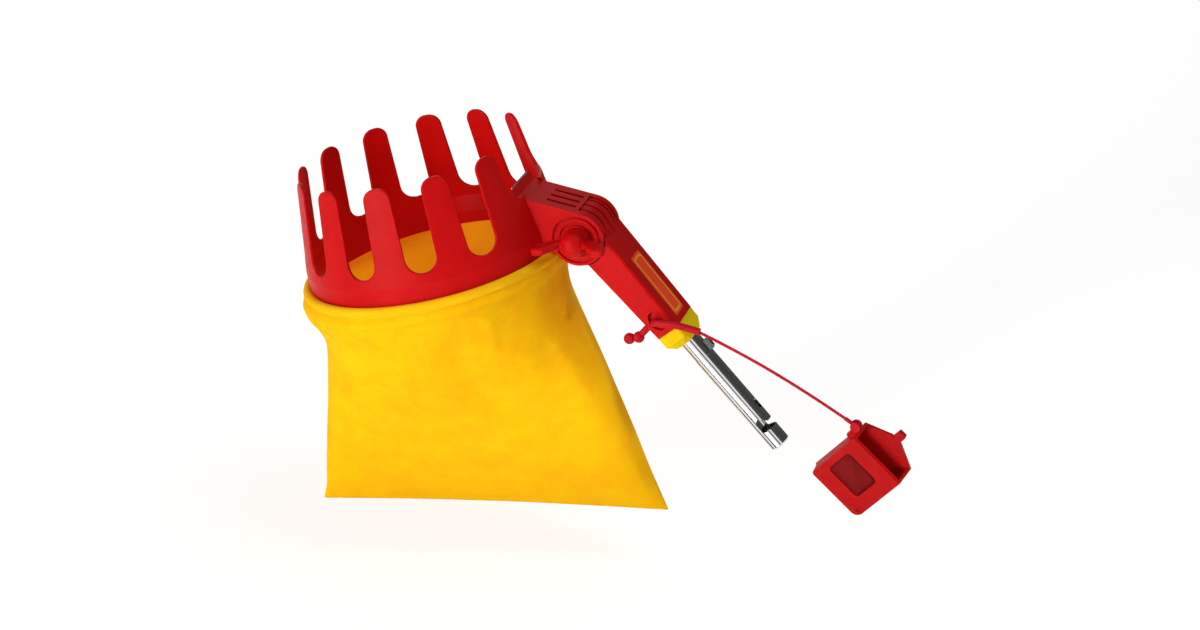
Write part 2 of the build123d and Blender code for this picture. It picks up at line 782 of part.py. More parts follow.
with BuildPart() as tether_button:
    with BuildSketch(Plane(origin=lug_at + front * (lug_half + 1.0), x_dir=guard_u, z_dir=front)):
        Circle(button_r)
    extrude(amount=-2 * lug_half - 2.0)
    for start in (lug_half + 0.2, -lug_half - 1.2):
        with BuildSketch(Plane(origin=lug_at + front * start, x_dir=guard_u, z_dir=front)):
            Circle(flange_r)
        extrude(amount=1.0)
    with BuildSketch(Plane(origin=lug_at, z_dir=neck_dir)):
        Circle(neck_r)
    extrude(amount=neck_reach)
tether_button.part.label = "tether_button"
export_step(tether_button.part, "parts/tether_button.step")

window = (30.0, 21.0)
window_at = (20.6, 23.0)
dimple_at = (43.5, 6.0)
lug_open = 80.0
neck_in_guard = (neck_dir.dot(guard_u), neck_dir.dot(guard_v))
neck_angle = degrees(atan2(neck_in_guard[1], neck_in_guard[0]))


def lug_side(turn):
    """Point well outside the lug's ring, at this turn from the tether's neck."""
    angle = radians(neck_angle + turn)
    return (lug_u + 3 * lug_r * cos(angle), lug_v + 3 * lug_r * sin(angle))


with BuildPart() as guard:
    # Pocket with a slanted mouth, drawn from its side and drawn out along the mouth.
    with BuildSketch(Plane(origin=guard_corner, x_dir=front, z_dir=-guard_u)):
        with BuildLine():
            Polyline(
                (guard_rear, 0),
                (guard_front, 0),
                (guard_front, guard_high),
                (guard_rear, guard_shoulder),
                close=True,
            )
        make_face()
    extrude(amount=-guard_width)
    fillet(guard.edges().filter_by(Axis.Y).sort_by(Axis(guard_corner, guard_u - guard_v))[-1], 6)
    fillet(guard.edges().filter_by(Axis.Y).sort_by(Axis(guard_corner, guard_u + guard_v))[0], 2.5)
    fillet(guard.faces().sort_by(Axis.Y)[0].edges().filter_by(GeomType.LINE), 0.8)
    with BuildSketch(guard_plane(guard_front - guard_wall)) as pocket:
        with Locations((guard_width / 2, guard_wall + 40)):
            Rectangle(guard_width - 2 * guard_wall, 80)
        fillet(pocket.vertices().sort_by(Axis.Y)[0:2], 3)
    extrude(amount=-(guard_front - guard_wall - guard_rear) - 1, mode=Mode.SUBTRACT)
    with BuildSketch(guard_plane(guard_front)):
        with Locations(window_at):
            RectangleRounded(*window, 3)
    extrude(amount=-1.1, mode=Mode.SUBTRACT)
    with BuildSketch(guard_plane(guard_front)):
        with Locations(dimple_at):
            Circle(1.6)
    extrude(amount=-1.0, mode=Mode.SUBTRACT)
    # Open ring at the mouth's corner, which snaps over the tether's button.
    with BuildSketch(guard_plane(tether_y - lug_half)):
        with Locations((lug_u, lug_v)):
            Circle(lug_r)
        with BuildLine():
            Polyline(
                (lug_u, lug_v),
                (lug_u - 2, lug_v - 9),
                (guard_wall / 2, lug_v - 11),
                (guard_wall / 2, lug_v - 2),
                close=True,
            )
        make_face()
        with Locations((lug_u, lug_v)):
            Circle(button_r + button_gap, mode=Mode.SUBTRACT)
        with BuildLine():
            Polyline((lug_u, lug_v), lug_side(-lug_open), lug_side(0), lug_side(lug_open), close=True)
        make_face(mode=Mode.SUBTRACT)
    extrude(amount=2 * lug_half)
guard.part.label = "guard"
export_step(guard.part, "parts/guard.step")

with BuildPart() as guard_back:
    with BuildSketch(guard_plane(guard_rear)) as gable:
        with BuildLine():
            Polyline(
                (0, 0),
                (guard_width, 0),
                (guard_width, guard_shoulder),
                (guard_width / 2 + 4.5, guard_peak),
                (guard_width / 2 - 4.5, guard_peak),
                (0, guard_shoulder),
                close=True,
            )
        make_face()
        fillet([v for v in gable.vertices() if v.X > guard_width - 1 and v.Y < 1], 6)
    extrude(amount=-back_thick)
    with BuildSketch(guard_plane(guard_rear + 1.0)) as peg:
        with Locations((guard_width / 2, guard_peak + 2.5)):
            Rectangle(6.5, 9)
        fillet(peg.vertices().sort_by(Axis.Y)[-2:], 1.2)
    extrude(amount=-back_thick - 2.0)
guard_back.part.label = "guard_back"
export_step(guard_back.part, "parts/guard_back.step")
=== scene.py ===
import json
import math

import bmesh
import bpy
from mathutils import Matrix, Vector, noise


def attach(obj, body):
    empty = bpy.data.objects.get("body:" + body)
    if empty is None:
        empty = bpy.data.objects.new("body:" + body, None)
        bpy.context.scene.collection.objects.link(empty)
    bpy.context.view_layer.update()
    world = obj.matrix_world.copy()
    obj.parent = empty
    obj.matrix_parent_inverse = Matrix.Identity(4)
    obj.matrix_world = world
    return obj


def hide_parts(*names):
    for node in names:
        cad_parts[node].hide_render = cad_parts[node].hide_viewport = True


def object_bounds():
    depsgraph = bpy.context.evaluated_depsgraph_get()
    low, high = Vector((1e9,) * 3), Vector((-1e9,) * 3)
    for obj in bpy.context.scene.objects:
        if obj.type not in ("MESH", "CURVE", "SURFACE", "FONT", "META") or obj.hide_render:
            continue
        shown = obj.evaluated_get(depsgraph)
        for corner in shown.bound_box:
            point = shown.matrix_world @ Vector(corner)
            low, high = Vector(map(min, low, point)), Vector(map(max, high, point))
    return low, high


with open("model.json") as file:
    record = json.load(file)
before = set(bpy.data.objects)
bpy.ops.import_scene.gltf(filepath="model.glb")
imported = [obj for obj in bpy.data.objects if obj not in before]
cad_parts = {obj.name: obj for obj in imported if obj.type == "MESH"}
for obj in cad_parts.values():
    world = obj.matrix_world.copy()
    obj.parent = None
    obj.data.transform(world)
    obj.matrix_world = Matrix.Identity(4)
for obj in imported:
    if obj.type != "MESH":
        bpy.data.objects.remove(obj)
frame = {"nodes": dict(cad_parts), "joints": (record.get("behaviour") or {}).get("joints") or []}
cad_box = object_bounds()
nodes = frame["nodes"]
scene = bpy.context.scene
MM = 0.001

# Directions that several pieces share, in degrees, and the hinge's place in the crown in millimetres: out from the
# crown's axis, and above its base.
CROWN_LEAN = 15.0
ARM_SLOPE = 47.0
SEAM_TURN = 16.5
HINGE_OUT = 122.3
HINGE_UP = 16.8
PIVOT = Vector(next(j for j in frame["joints"] if j["name"] == "head_tilt")["pos_m"])


def turned(degrees, axis):
    """Turn about one axis of the frame."""
    return Matrix.Rotation(math.radians(degrees), 3, axis)


CROWN_TURN = turned(-CROWN_LEAN, "Y")
CROWN_BASE = PIVOT + CROWN_TURN @ Vector((-HINGE_OUT, 0, -HINGE_UP)) * MM
ARM_TURN = turned(ARM_SLOPE, "Y")
SEAM_DIR = Vector((math.cos(math.radians(SEAM_TURN)), math.sin(math.radians(SEAM_TURN)), 0))


def add_piece(name, mesh, body, material):
    """Puts a mesh in the scene as a piece that moves with one body."""
    piece = bpy.data.objects.new(name, mesh)
    scene.collection.objects.link(piece)
    mesh.materials.append(material)
    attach(piece, body)
    return piece


def mesh_of(name, points, faces):
    """Smooth mesh from points in metres and faces of point numbers, with its normals turned outwards."""
    mesh = bpy.data.meshes.new(name)
    mesh.from_pydata(points, [], faces)
    shape = bmesh.new()
    shape.from_mesh(mesh)
    bmesh.ops.recalc_face_normals(shape, faces=shape.faces)
    shape.to_mesh(mesh)
    shape.free()
    for face in mesh.polygons:
        face.use_smooth = True
    return mesh


# Materials. Sizes of patterns are in millimetres, and spans are parts of a noise's range.

FLOW_MM, FLOW_SPAN = 34, (0.35, 0.68)
SCUFF_MM, SCUFF_SPAN, RUB_SPAN = 5, (0.3, 0.72), (0.62, 0.8)
GRAIN_DEPTH = 0.2 * MM
DYE_MM, DYE_SPAN = 26, (0.3, 0.7)
THREAD_DEPTH = 0.3 * MM
# A wave texture turns through this many radians in one unit, so the waves lie 2 pi times thread_mm apart.
WAVE_RADIANS = 20
# Places of the colour sockets on a Mix node, which share their names with its other sockets.
MIX_A, MIX_B, MIX_OUT = 6, 7, 2


def linear(code):
    """Linear colour of an sRGB hex value."""
    channels = [int(code[i : i + 2], 16) / 255 for i in (1, 3, 5)]
    return [c / 12.92 if c <= 0.04045 else ((c + 0.055) / 1.055) ** 2.4 for c in channels] + [1.0]


def per_metre(size_mm):
    """Texture scale at which one unit of the pattern is this long."""
    return 1.0 / (size_mm * MM)


def add_node(tree, kind, links=None, values=None, **settings):
    """Adds a node with its settings, the values of its inputs and the links into it."""
    new = tree.nodes.new(kind)
    for name, value in settings.items():
        setattr(new, name, value)
    for name, value in (values or {}).items():
        new.inputs[name].default_value = value
    for name, source in (links or {}).items():
        tree.links.new(source, new.inputs[name])
    return new


def new_material(name, **values):
    """Material with one Principled shader, and the sockets that are the same all over it."""
    material = bpy.data.materials.new(name)
    material.use_nodes = True
    shader = material.node_tree.nodes["Principled BSDF"]
    for socket, value in values.items():
        shader.inputs[socket.replace("_", " ")].default_value = value
    return material, material.node_tree, shader


def moulded_plastic(name, colours, gloss, grain_mm, wear, **sockets):
    """Injection-moulded polypropylene: even colour with a faint flow mottle, satin gloss broken by handling, and a
    fine grain from the mould. The third colour is that of rubbed places, and gloss is a span of roughness."""
    material, tree, shader = new_material(name, IOR=1.49, Specular_IOR_Level=0.1, **sockets)
    place = {"Vector": add_node(tree, "ShaderNodeTexCoord").outputs["Object"]}
    flow = add_node(tree, "ShaderNodeTexNoise", place, {"Scale": per_metre(FLOW_MM), "Detail": 3.0})
    tone = add_node(tree, "ShaderNodeValToRGB", {"Fac": flow.outputs["Fac"]})
    for stop, position, colour in zip(tone.color_ramp.elements, FLOW_SPAN, colours):
        stop.position, stop.color = position, linear(colour)
    scuff = add_node(tree, "ShaderNodeTexNoise", place, {"Scale": per_metre(SCUFF_MM), "Detail": 6.0})
    rough = add_node(
        tree,
        "ShaderNodeMapRange",
        {"Value": scuff.outputs["Fac"]},
        {"From Min": SCUFF_SPAN[0], "From Max": SCUFF_SPAN[1], "To Min": gloss[0], "To Max": gloss[1]},
    )
    rub = add_node(
        tree,
        "ShaderNodeMapRange",
        {"Value": scuff.outputs["Fac"]},
        {"From Min": RUB_SPAN[0], "From Max": RUB_SPAN[1], "To Max": wear},
    )
    worn = add_node(
        tree,
        "ShaderNodeMix",
        {"Factor": rub.outputs["Result"], MIX_A: tone.outputs["Color"]},
        {MIX_B: linear(colours[2])},
        data_type="RGBA",
    )
    grain = add_node(tree, "ShaderNodeTexNoise", place, {"Scale": per_metre(grain_mm), "Detail": 2.0})
    raised = {"Strength": 0.12, "Distance": GRAIN_DEPTH}
    bump = add_node(tree, "ShaderNodeBump", {"Height": grain.outputs["Fac"]}, raised)
    tree.links.new(worn.outputs[MIX_OUT], shader.inputs["Base Color"])
    tree.links.new(rough.outputs["Result"], shader.inputs["Roughness"])
    tree.links.new(bump.outputs["Normal"], shader.inputs["Normal"])
    return material


def plated_metal(name, colour, gloss, streak_mm, depth_mm):
    """Steel with a plated, blackened or ground face, whose gloss and surface are a little uneven."""
    material, tree, shader = new_material(name, Metallic=1.0, Base_Color=linear(colour))
    place = {"Vector": add_node(tree, "ShaderNodeTexCoord").outputs["Object"]}
    streak = add_node(tree, "ShaderNodeTexNoise", place, {"Scale": per_metre(streak_mm), "Detail": 4.0})
    span = {"To Min": gloss[0], "To Max": gloss[1]}
    rough = add_node(tree, "ShaderNodeMapRange", {"Value": streak.outputs["Fac"]}, span)
    raised = {"Strength": 0.1, "Distance": depth_mm * MM}
    bump = add_node(tree, "ShaderNodeBump", {"Height": streak.outputs["Fac"]}, raised)
    tree.links.new(rough.outputs["Result"], shader.inputs["Roughness"])
    tree.links.new(bump.outputs["Normal"], shader.inputs["Normal"])
    return material


def woven_cotton(name, colours, thread_mm, lift, **sockets):
    """Plain-woven dyed cotton: crossing threads, uneven dye, a soft fuzz at grazing light, and almost no gloss. Real
    threads are too fine to show, so they are drawn much coarser, as a soft unevenness of the cloth."""
    material, tree, shader = new_material(
        name,
        Roughness=0.88,
        IOR=1.46,
        Specular_IOR_Level=0.15,
        Sheen_Weight=0.06,
        Sheen_Roughness=0.45,
        Sheen_Tint=linear(colours[1]),
        **sockets,
    )
    place = {"Vector": add_node(tree, "ShaderNodeTexCoord").outputs["Object"]}
    turn = add_node(tree, "ShaderNodeMapping", place, {"Rotation": (0, 0, math.radians(SEAM_TURN))})
    weave = add_node(tree, "ShaderNodeMath", operation="MULTIPLY")
    for socket, way in zip(weave.inputs, ("X", "Z")):
        wave = add_node(
            tree,
            "ShaderNodeTexWave",
            {"Vector": turn.outputs["Vector"]},
            {"Scale": per_metre(thread_mm) / WAVE_RADIANS, "Distortion": 1.2, "Detail Scale": 3.0},
            bands_direction=way,
        )
        tree.links.new(wave.outputs["Fac"], socket)
    dye = add_node(
        tree,
        "ShaderNodeTexNoise",
        place,
        {"Scale": per_metre(DYE_MM), "Detail": 5.0, "Roughness": 0.7},
    )
    tone = add_node(tree, "ShaderNodeValToRGB", {"Fac": dye.outputs["Fac"]})
    for stop, position, colour in zip(tone.color_ramp.elements, DYE_SPAN, colours):
        stop.position, stop.color = position, linear(colour)
    raised = {"Strength": lift, "Distance": THREAD_DEPTH}
    bump = add_node(tree, "ShaderNodeBump", {"Height": weave.outputs[0]}, raised)
    tree.links.new(tone.outputs["Color"], shader.inputs["Base Color"])
    tree.links.new(bump.outputs["Normal"], shader.inputs["Normal"])
    return material


SATIN = (0.38, 0.54)
PRINT = (0.3, 0.42)
# Crown, arm and knob: an even strong red with a soft satin sheen, and a little paler where hands rub it.
crown_red = moulded_plastic("moulded_polypropylene_red", ("#C00509", "#CA080A", "#D2201C"), SATIN, 0.9, 0.2)
# Guard: the same plastic, moulded in a deeper red.
guard_red = moulded_plastic("moulded_polypropylene_deep_red", ("#AE0709", "#B80A0C", "#C02420"), SATIN, 0.9, 0.2)
# Panel in the guard's recess: dull from the mould's grain, and a darker red that is painted shade of the recess.
recess_shade_red = moulded_plastic("polypropylene_red_painted_recess_shade", ("#7C1012", "#8C1416", "#9A2020"), (0.6, 0.75), 0.7, 0.2)
# Tether: soft vinyl, a slightly bluish red with a duller sheen than the crown's.
tether_red = moulded_plastic("soft_moulded_vinyl_red", ("#B81020", "#C41624", "#CC3A40"), (0.42, 0.55), 0.7, 0.15)
# End collar: yellow plastic that light enters a little way, so its edges stay warm in the shade.
collar_yellow = moulded_plastic(
    "moulded_polypropylene_yellow",
    ("#FFC800", "#FFD400", "#FFDE40"),
    (0.32, 0.46),
    0.9,
    0.2,
    Subsurface_Weight=0.7,
    Subsurface_Radius=(1.0, 0.7, 0.05),
    Subsurface_Scale=8 * MM,
)
# Plate on the arm and the line round it: printed faces, smoother than the mouldings.
plate_orange = moulded_plastic("printed_plate_orange", ("#FF4A20", "#FF5426", "#FF6A3A"), PRINT, 0.8, 0.2)
line_amber = moulded_plastic("printed_line_amber", ("#FFA028", "#FFA832", "#FFB850"), PRINT, 0.8, 0.1)
# Tang: bright chrome that mirrors its surroundings in clear stripes.
tube_chrome = plated_metal("chromed_steel_tube", "#D9DBDD", (0.05, 0.12), streak_mm=3.0, depth_mm=0.02)
# Bolt, washer, nut and screws: grey zinc with a soft shine.
bolt_zinc = plated_metal("zinc_plated_steel", "#A9ACAE", (0.24, 0.4), streak_mm=1.2, depth_mm=0.03)
# Pin and key on the tang: dark blackened steel, nearly dull.
pin_steel = plated_metal("blackened_steel", "#4C504C", (0.35, 0.5), streak_mm=1.2, depth_mm=0.02)
# Blade: ground steel, pale, with a soft sheen from fine grinding marks.
blade_steel = plated_metal("ground_blade_steel", "#E2E4E6", (0.35, 0.5), streak_mm=0.6, depth_mm=0.03)
# Friction discs: pressed fibre, black and dull.
disc_fibre = moulded_plastic("pressed_fibre_black", ("#2A2725", "#322E2B", "#4A4642"), (0.7, 0.85), 0.8, 0.3)
# Bag: cotton with a painted orange glow in place of light coming through thin cloth, faint on the outside and stronger
# on the inner face.
bag_cotton = woven_cotton(
    "woven_cotton_yellow",
    ("#FFB600", "#FFCA00"),
    thread_mm=1.3,
    lift=0.45,
    Subsurface_Weight=0.3,
    Subsurface_Radius=(1.0, 0.55, 0.05),
    Subsurface_Scale=2.5 * MM,
    Emission_Color=linear("#FF8A00"),
    Emission_Strength=0.08,
)
# Inner face: the same cotton with a stronger painted glow.
lining_cotton = woven_cotton(
    "woven_cotton_painted_glow_inside",
    ("#FFB400", "#FFBE00"),
    thread_mm=1.3,
    lift=0.45,
    Emission_Color=linear("#F2B024"),
    Emission_Strength=0.15,
)
# Hem and its cord: several layers of cloth, too thick for light to come through, so they get no painted glow, and
# undyed twisted cotton.
hem_cotton = woven_cotton("rolled_cotton_hem", ("#FFBC04", "#FFC80C"), thread_mm=1.3, lift=0.6)
cord_cotton = woven_cotton("twisted_cotton_cord", ("#DCCFA6", "#E6DAB6"), thread_mm=1.0, lift=0.6)

finishes = {
    crown_red: ("crown", "arm", "wing_knob"),
    guard_red: ("guard", "guard_back"),
    tether_red: ("tether_plug", "tether_button", "tether_strand"),
    collar_yellow: ("end_collar",),
    plate_orange: ("top_plate",),
    tube_chrome: ("tang",),
    bolt_zinc: ("pivot_bolt", "bolt_washer", "knob_nut", "blade_screw"),
    pin_steel: ("tang_pin", "tang_key"),
    blade_steel: ("blade",),
    disc_fibre: ("friction_disc",),
    bag_cotton: ("bag", "bag_hem"),
    cord_cotton: ("hem_cord",),
}
for material, names in finishes.items():
    for name in names:
        nodes[name].data.materials.clear()
        nodes[name].data.materials.append(material)

# Tether: one springy strand from the thick end to the guard's button.

STRAND_RADIUS = 1.1 * MM
STRAND_ROUTE = [
    (-0.6, -27.5, 32.638),
    (28.172, -27.5, 22.928),
    (82.872, -27.5, -1.272),
    (116.254, -27.5, -19.472),
]

line = bpy.data.curves.new("tether_strand_line", "CURVE")
line.dimensions = "3D"
line.bevel_depth = STRAND_RADIUS
line.bevel_resolution = 4
line.use_fill_caps = True
spline = line.splines.new("NURBS")
spline.points.add(len(STRAND_ROUTE) - 1)
for point, place in zip(spline.points, STRAND_ROUTE):
    point.co = (*(Vector(place) * MM), 1.0)
spline.order_u = 3
spline.use_endpoint_u = True
spline.resolution_u = 24
tether = add_piece("tether_line", line, "arm", tether_red)
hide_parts("tether_strand")

# Bag: one sheet of cotton, round at the hem and sewn flat along its bottom. Lengths are in millimetres.

BAG_COLUMNS = 208
BAG_ROWS = 72
PINNED_ROWS = 8
# Distance between the first rows, as a part of the mean distance.
ROW_START = 0.45
# Each level: drop below the crown's base, lean, shift and half width along the seam, half depth, squareness.
BAG_LEVELS = [
    (-3.0, 15.0, 0.0, 99.4, 99.4, 2.0),
    (4.0, 14.4, -1.7, 102.9, 101.4, 2.0),
    (11.0, 13.5, -2.4, 100.4, 98.8, 2.05),
    (28.0, 11.0, 4.6, 95.0, 92.0, 2.25),
    (44.0, 9.0, 10.4, 95.2, 85.0, 2.45),
    (95.0, 3.0, 24.8, 108.8, 57.0, 2.8),
    (150.0, 0.0, 36.2, 122.8, 29.0, 3.0),
    (192.0, 0.0, 44.9, 133.2, 5.5, 3.0),
    (200.0, 0.0, 46.4, 134.8, 1.6, 3.0),
]
CORNER_DROP = 2.6
# Folds on the front: where each starts and ends along the seam and below the crown's base, how deep it is (a ridge
# is less than nothing), and how wide it is to its left and to its right.
BAG_FOLDS = [
    ((-35.0, 30.0), (95.0, 160.0), -2.5, 22.0, 20.0),
    ((2.0, 24.0), (62.0, 108.0), 2.2, 14.0, 30.0),
    ((-62.0, 28.0), (-64.0, 100.0), -1.4, 7.0, 9.0),
    ((90.0, -6.0), (89.0, 46.0), 5.0, 4.0, 12.0),
    ((84.0, 24.0), (126.0, 84.0), 5.0, 4.0, 12.0),
]
# How fast the folds rise to their full depth from the bag's side edges.
FOLD_RISE = 3
STITCH_DROP = 9.5
STITCH_WIDTH = 1.6
STITCH_DEPTH = 0.9


def curve_through(knots, values, x):
    """Smooth curve through the values at the knots, read at x."""
    i = max(k for k in range(len(knots) - 1) if knots[k] <= x)
    slopes = []
    for k in (i, i + 1):
        before, after = max(k - 1, 0), min(k + 1, len(knots) - 1)
        slopes.append((values[after] - values[before]) / (knots[after] - knots[before]))
    width = knots[i + 1] - knots[i]
    t = (x - knots[i]) / width
    rise = values[i + 1] - values[i]
    a, b = slopes[0] * width - rise, rise - slopes[1] * width
    return values[i] + rise * t + t * (1 - t) * (a * (1 - t) + b * t)


def fold_depth(across, drop):
    """How far the front of the cloth falls in at this place, in millimetres."""
    depth = 0.0
    for (x0, y0), (x1, y1), deep, left, right in BAG_FOLDS:
        t = (drop - y0) / (y1 - y0)
        away = across - (x0 + (x1 - x0) * t)
        fade = max(0.0, 1 - abs(2 * t - 1) ** 3) if 0 <= t <= 1 else 0.0
        depth += deep * fade * math.exp(-((away / (left if away < 0 else right)) ** 2))
    return depth


def bag_point(drop, turn):
    """Point of the cloth at this drop and this turn round it, in metres, before it hangs."""
    knots = [level[0] for level in BAG_LEVELS]
    lean, shift, half_width, half_depth, square = (
        curve_through(knots, [level[i] for level in BAG_LEVELS], drop) for i in range(1, 6)
    )
    up = Vector((-math.sin(math.radians(lean)), 0, math.cos(math.radians(lean))))
    along = (SEAM_DIR - up * SEAM_DIR.dot(up)).normalized()
    c, s = math.cos(turn), math.sin(turn)
    size = (abs(c) ** square + abs(s) ** square) ** (-1 / square)
    flat = along * half_width * c * size + up.cross(along) * half_depth * s * size
    inward = fold_depth(half_width * c * size + shift, drop) if s < 0 else 0.0
    flat += up.cross(along) * inward * min(1.0, FOLD_RISE * abs(s))
    flat -= flat.normalized() * STITCH_DEPTH * math.exp(-(((drop - STITCH_DROP) / STITCH_WIDTH) ** 2))
    fall = drop + CORNER_DROP * (drop / knots[-1]) ** 3 * (c * size) ** 2
    return CROWN_BASE + (SEAM_DIR * shift + Vector((0, 0, -fall)) + flat) * MM


def bag_mesh():
    """Rows of the cloth from the hem down, closer near the hem, closed along the bottom by one row of faces."""
    first, last = BAG_LEVELS[0][0], BAG_LEVELS[-1][0]
    points, faces = [], []
    for row in range(BAG_ROWS + 1):
        t = row / BAG_ROWS
        drop = min(first + (last - first) * t * (ROW_START + (1 - ROW_START) * t), last - 1e-6)
        points += [bag_point(drop, math.tau * k / BAG_COLUMNS) for k in range(BAG_COLUMNS)]
    for row in range(BAG_ROWS):
        for k in range(BAG_COLUMNS):
            a, b = row * BAG_COLUMNS + k, row * BAG_COLUMNS + (k + 1) % BAG_COLUMNS
            faces.append((a, b, b + BAG_COLUMNS, a + BAG_COLUMNS))
    end = BAG_ROWS * BAG_COLUMNS
    for k in range(BAG_COLUMNS // 2):
        ring = [k, k + 1, (BAG_COLUMNS - k - 1) % BAG_COLUMNS, (BAG_COLUMNS - k) % BAG_COLUMNS]
        faces.append([end + i for i in dict.fromkeys(ring)])
    return mesh_of("bag_sheet", points, faces)


SAG_FRAMES = 22
SAG_LIMIT = 3 * MM
# The cloth is this part larger than its mesh, so that it hangs a little slack.
SLACK = 0.006


def hang(piece):
    """Lets the cloth hang from its pinned rows under its own weight, and keeps each point near where it began."""
    rest = [v.co.copy() for v in piece.data.vertices]
    held = piece.vertex_groups.new(name="held")
    held.add(list(range(PINNED_ROWS * BAG_COLUMNS)), 1.0, "REPLACE")
    cloth = piece.modifiers.new("hang", "CLOTH")
    settings = cloth.settings
    settings.vertex_group_mass = "held"
    settings.quality = 7
    settings.mass = 0.002
    settings.tension_stiffness = settings.compression_stiffness = 12
    settings.shear_stiffness = 4
    settings.bending_stiffness = 2.0
    settings.shrink_min = -SLACK
    cloth.collision_settings.use_collision = False
    cloth.point_cache.frame_end = SAG_FRAMES
    for step in range(1, SAG_FRAMES + 1):
        scene.frame_set(step)
    hung = piece.evaluated_get(bpy.context.evaluated_depsgraph_get()).data
    moved = [v.co - rest[i] for i, v in enumerate(hung.vertices)]
    piece.modifiers.clear()
    scene.frame_set(1)
    for vertex, start, move in zip(piece.data.vertices, rest, moved):
        vertex.co = start + move * (SAG_LIMIT / (SAG_LIMIT + move.length))


CLOTH_THICK = 0.9 * MM

bag = add_piece("bag_cloth", bag_mesh(), "head", bag_cotton)
bag.data.materials.append(lining_cotton)
hang(bag)
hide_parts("bag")
thick = bag.modifiers.new("cloth_thickness", "SOLIDIFY")
thick.thickness = CLOTH_THICK
thick.offset = 0
thick.material_offset = 1
smooth = bag.modifiers.new("soft", "SUBSURF")
smooth.levels = smooth.render_levels = 1

# Hem: the cloth rolled round its cord, drawn up in small gathers. Its middle line is given from the crown's axis and
# above the crown's base.

HEM_RHO = 99.5
HEM_H = 5.4
HEM_R = 4.2
HEM_STEPS = 320
HEM_SIDES = 18
HEM_DRAWN = 0.97
# Fine and broad gathers: how often they come, and how strong they are.
GATHERS = ((14, 0.22), (4, 0.3))
GATHER_DEPTH = 0.05


def hem_mesh():
    """Roll round the crown's groove whose thickness swells and narrows with the gathers."""
    points, faces = [], []
    for i in range(HEM_STEPS):
        turn = math.tau * i / HEM_STEPS
        out = Vector((math.cos(turn), math.sin(turn), 0))
        gather = sum(noise.noise(out * rate) * share for rate, share in GATHERS)
        for k in range(HEM_SIDES):
            side = math.tau * k / HEM_SIDES
            size = HEM_R * (HEM_DRAWN + GATHER_DEPTH * gather * (1 + math.cos(side)))
            place = out * (HEM_RHO + size * math.cos(side)) + Vector((0, 0, HEM_H + size * math.sin(side)))
            points.append(CROWN_BASE + CROWN_TURN @ place * MM)
            near, far = i * HEM_SIDES, (i + 1) % HEM_STEPS * HEM_SIDES
            faces.append((near + k, far + k, far + (k + 1) % HEM_SIDES, near + (k + 1) % HEM_SIDES))
    return mesh_of("hem_roll", points, faces)


hem = add_piece("hem_roll", hem_mesh(), "head", hem_cotton)
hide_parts("bag_hem")

# Thin raised line on the plate, inside its edge. The plate's middle is given from the hinge: along the arm, and square
# to it.

PLATE_MIDDLE = (63.0, 18.8)
# Inner and outer edge of the line: half length, half width and corner radius.
LINE_INNER = (23.2, 5.7, 1.6)
LINE_OUTER = (25.0, 7.5, 2.6)
LINE_FOOT, LINE_TOP = -0.1, 0.12
CORNER_STEPS = 6


def rounded_frame(half_length, half_width, corner):
    """Points round a rectangle with round corners."""
    points = []
    for quarter, (x, y) in enumerate(((1, 1), (-1, 1), (-1, -1), (1, -1))):
        for step in range(CORNER_STEPS + 1):
            turn = math.radians(90 * quarter + 90 / CORNER_STEPS * step)
            points.append((
                x * (half_length - corner) + corner * math.cos(turn),
                y * (half_width - corner) + corner * math.sin(turn),
            ))
    return points


def plate_line_mesh():
    """Flat ring that follows the plate's outline, a little proud of it."""
    inner, outer = rounded_frame(*LINE_INNER), rounded_frame(*LINE_OUTER)
    points, faces = [], []
    for height in (LINE_FOOT, LINE_TOP):
        for x, y in inner + outer:
            local = Vector((PLATE_MIDDLE[0] + x, y, PLATE_MIDDLE[1] + height))
            points.append(PIVOT + ARM_TURN @ local * MM)
    n = len(inner)
    high = 2 * n
    for a in range(n):
        b = (a + 1) % n
        faces.append((high + a, high + b, high + n + b, high + n + a))
        faces.append((a, n + a, n + b, b))
        faces.append((a, b, high + b, high + a))
        faces.append((n + a, high + n + a, high + n + b, n + b))
    return mesh_of("plate_line", points, faces)


add_piece("plate_line", plate_line_mesh(), "arm", line_amber)

# Grained panel at the bottom of the recess in the guard's front, a darker red that is painted shade of the recess. Its
# middle is given along and up the guard's face, from a corner of the guard.

GUARD_TURN = 40.5
GUARD_AT = Vector((92.87, -33.38, -62.97))
PANEL_MIDDLE = (20.6, 23.0)
PANEL_HALF = (14.8, 10.3)
PANEL_CORNER = 2.8
PANEL_BACK, PANEL_FRONT = 0.02, -0.25


def guard_panel_mesh():
    """Thin sheet with round corners that lies in the recess."""
    turn = turned(GUARD_TURN, "Y")
    rim = rounded_frame(*PANEL_HALF, PANEL_CORNER)
    points, n = [], len(rim)
    for out in (PANEL_BACK, PANEL_FRONT):
        for x, y in rim:
            local = turn @ Vector((PANEL_MIDDLE[0] + x, 0, PANEL_MIDDLE[1] + y))
            points.append((GUARD_AT + local + Vector((0, out, 0))) * MM)
    faces = [tuple(range(n)), tuple(range(n, 2 * n))]
    faces += [(k, (k + 1) % n, n + (k + 1) % n, n + k) for k in range(n)]
    return mesh_of("guard_panel", points, faces)


add_piece("guard_panel", guard_panel_mesh(), "guard", recess_shade_red)

# Floor, world, lamps and camera. Lengths are in metres.

FLOOR_REACH = 12.0
FLOOR_GLOW = 0.6
# The head's tilt swings a corner of the bag about 43 mm lower than it hangs at rest, so the floor lies below that.
FLOOR_DROP = 46 * MM
# Strength of the world as a light on the object, and as what the camera and mirrors see.
SKY_LIGHT, SKY_SEEN = 0.3, 1.0


def white_to_the_eye(tree):
    """1 for rays from the camera, mirrors and glass, and 0 for light that falls on the object."""
    path = add_node(tree, "ShaderNodeLightPath")
    seen = path.outputs["Is Camera Ray"]
    for kind in ("Is Glossy Ray", "Is Transmission Ray"):
        more = add_node(tree, "ShaderNodeMath", {0: seen, 1: path.outputs[kind]}, operation="MAXIMUM")
        seen = more.outputs[0]
    return seen


